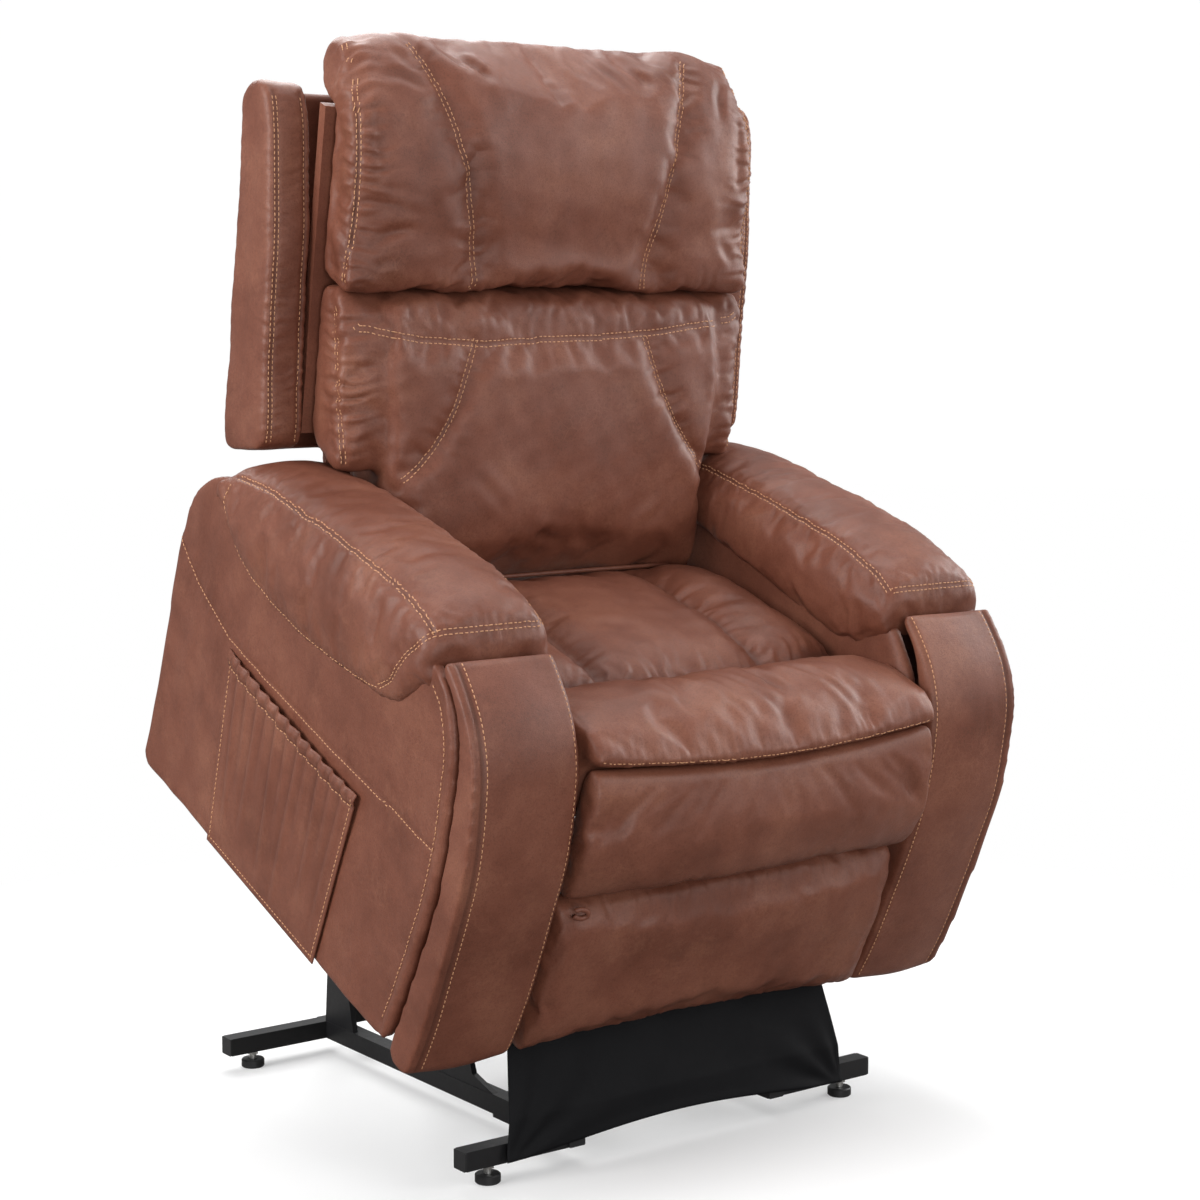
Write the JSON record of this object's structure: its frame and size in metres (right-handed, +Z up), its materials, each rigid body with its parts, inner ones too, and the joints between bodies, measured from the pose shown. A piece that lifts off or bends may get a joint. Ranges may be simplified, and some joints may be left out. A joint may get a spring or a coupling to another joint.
{
  "type": "lift recliner chair",
  "caption": "Powered lift recliner chair in stitched brown upholstery on a black steel lift base, shown raised and tilted forward for standing up.",
  "frame": {"origin": "on the floor, under the middle of the raised chair's bounding box", "axes": "+Z up, the chair faces -Y, +X is the sitter's left"},
  "size_m": [0.9131, 0.8704, 1.4616],
  "materials": {
    "upholstery": "satin",
    "black_steel": "satin",
    "black_plastic": "matte",
    "skirt_cloth": "matte",
    "motor_plastic": "matte",
    "rod_steel": "polished",
    "bolt_steel": "satin",
    "frame_wood": "matte"
  },
  "bodies": {
    "base": {"base_side_rails": "black_steel", "base_outriggers": "black_steel", "base_cross_tubes": "black_steel", "rail_collars": "black_steel", "tube_end_caps": "black_plastic", "foot_discs": "black_plastic", "foot_stems": "bolt_steel", "foot_lock_nuts": "bolt_steel", "front_pivot_brackets": "black_steel", "rear_pivot_brackets": "black_steel", "base_pivot_bolts": "bolt_steel", "motor_mount": "black_steel", "front_skirt": "skirt_cloth"},
    "long_links": {"long_lift_link_left": "black_steel", "long_lift_link_right": "black_steel"},
    "short_links": {"short_lift_link_left": "black_steel", "short_lift_link_right": "black_steel"},
    "lift_motor": {"lift_motor_housing": "motor_plastic", "lift_motor_tube": "motor_plastic"},
    "lift_rod": {"lift_motor_rod": "rod_steel"},
    "chair": {"lift_frame_rails": "black_steel", "lift_frame_cross_tubes": "black_steel", "short_link_lugs": "black_steel", "lift_frame_posts": "black_steel", "push_tube": "black_steel", "chair_pivot_bolts": "bolt_steel", "mechanism_plates": "black_steel", "mechanism_pins": "bolt_steel", "seat_front_rail": "frame_wood", "seat_rear_rail": "frame_wood", "seat_springs": "bolt_steel", "seat_cushion": "upholstery", "side_panel_left": "upholstery", "side_panel_right": "upholstery", "inner_arm_panel_left": "frame_wood", "inner_arm_panel_right": "frame_wood", "arm_post_left": "upholstery", "arm_post_right": "upholstery", "arm_pad_left": "upholstery", "arm_pad_right": "upholstery", "arm_rear_boards": "upholstery", "arm_top_boards": "frame_wood", "side_pocket": "upholstery"},
    "drive_links": {"footrest_drive_links": "black_steel", "footrest_elbow_pins": "bolt_steel"},
    "reach_links": {"footrest_reach_links": "black_steel"},
    "ottoman": {"ottoman_board": "frame_wood", "ottoman_brackets": "black_steel", "ottoman_pins": "bolt_steel", "ottoman_pad": "upholstery"},
    "chaise": {"chaise_pad": "upholstery"},
    "back": {"back_board": "frame_wood", "back_brackets": "black_steel", "back_wing_left": "upholstery", "back_wing_right": "upholstery", "back_shell": "upholstery", "lumbar_cushion": "upholstery"},
    "headrest": {"headrest_plate": "frame_wood", "head_cushion": "upholstery"}
  },
  "joints": [
    {"name": "lift", "type": "hinge", "parent": "base", "child": "long_links", "pos_m": [0, 0.34914, 0.1898], "axis": [1, 0, 0], "range_deg": [0, 29.28], "deforming": ["front_skirt"]},
    {"name": "chair_pitch", "type": "hinge", "parent": "long_links", "child": "chair", "pos_m": [0, -0.0716, 0.30907], "axis": [1, 0, 0], "range_deg": [-51.85, 0]},
    {"name": "short_link_swing", "type": "hinge", "parent": "base", "child": "short_links", "pos_m": [0, 0.05714, 0.2008], "axis": [1, 0, 0], "range_deg": [0, 40.26]},
    {"name": "lift_motor_swing", "type": "hinge", "parent": "base", "child": "lift_motor", "pos_m": [0, 0.35354, 0.105], "axis": [1, 0, 0], "range_deg": [0, 22.19]},
    {"name": "lift_rod_slide", "type": "slide", "parent": "lift_motor", "child": "lift_rod", "axis": [0, -0.73, 0.6834], "range_m": [-0.1843, 0]},
    {"name": "footrest", "type": "hinge", "parent": "chair", "child": "drive_links", "pos_m": [0, -0.2261, 0.46732], "axis": [1, 0, 0], "range_deg": [-104.28, 0]},
    {"name": "reach_link_swing", "type": "hinge", "parent": "drive_links", "child": "reach_links", "pos_m": [0, -0.05056, 0.33637], "axis": [1, 0, 0], "range_deg": [0, 91]},
    {"name": "ottoman_turn", "type": "hinge", "parent": "reach_links", "child": "ottoman", "pos_m": [0, -0.28324, 0.36936], "axis": [1, 0, 0], "range_deg": [-76.72, 0]},
    {"name": "chaise_turn", "type": "hinge", "parent": "chair", "child": "chaise", "pos_m": [0, -0.42424, 0.55799], "axis": [1, 0, 0], "range_deg": [-90.3, 0]},
    {"name": "recline", "type": "hinge", "parent": "chair", "child": "back", "pos_m": [0, 0.14692, 0.63305], "axis": [1, 0, 0], "range_deg": [-45, 0]},
    {"name": "headrest_tilt", "type": "hinge", "parent": "back", "child": "headrest", "pos_m": [0, 0.03278, 1.10175], "axis": [1, 0, 0], "range_deg": [0, 30]}
  ],
  "couplings": [
    {"joint": "chair_pitch", "follows": "lift", "ratio": -1.7606},
    {"joint": "short_link_swing", "follows": "lift", "ratio": 1.3648},
    {"joint": "lift_motor_swing", "follows": "lift", "ratio": 0.74773},
    {"joint": "lift_rod_slide", "follows": "lift", "m_per_rad": -0.35675},
    {"joint": "reach_link_swing", "follows": "footrest", "ratio": -0.86975},
    {"joint": "ottoman_turn", "follows": "footrest", "ratio": 0.73279},
    {"joint": "chaise_turn", "follows": "footrest", "ratio": 0.86304}
  ]
}
